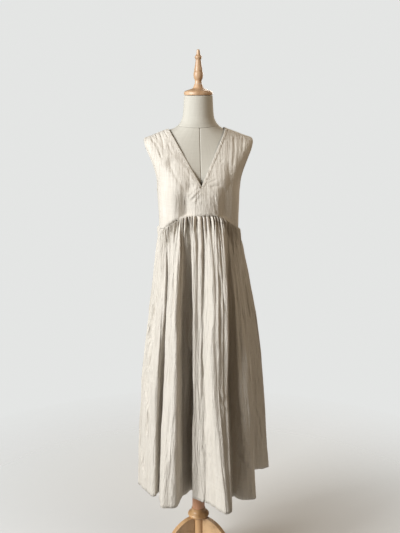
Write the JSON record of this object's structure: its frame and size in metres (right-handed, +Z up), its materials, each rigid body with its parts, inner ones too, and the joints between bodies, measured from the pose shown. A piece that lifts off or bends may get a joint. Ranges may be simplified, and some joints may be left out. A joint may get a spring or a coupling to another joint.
{
  "type": "pinafore dress on a dress form",
  "caption": "Sleeveless V-neck linen pinafore dress with a high waist seam and a long gathered skirt, worn by a limbless dress form on a wooden stand.",
  "frame": {"origin": "on the floor, under the middle of the whole object's box", "axes": "+Z up, the wearer's front towards -Y, the wearer's left towards +X"},
  "size_m": [0.5062, 0.4584, 1.854],
  "materials": {
    "linen": "washed natural linen, plain weave, matt",
    "form_cover": "off-white cotton and linen cover, tight, matt",
    "light_wood": "turned beech, satin",
    "stand_wood": "varnished wood, satin",
    "post_wood": "reddish varnished wood, satin"
  },
  "bodies": {
    "root": {"bodice_front": "linen", "bodice_back": "linen", "skirt_front": "linen", "skirt_back": "linen", "neck_binding": "linen", "armhole_binding_left": "linen", "armhole_binding_right": "linen", "form_torso": "form_cover", "form_neck": "form_cover", "neck_cap": "light_wood", "finial": "light_wood", "post": "post_wood", "collar": "stand_wood", "hub": "stand_wood", "leg_left": "stand_wood", "leg_right": "stand_wood", "leg_back": "stand_wood"}
  },
  "joints": []
}
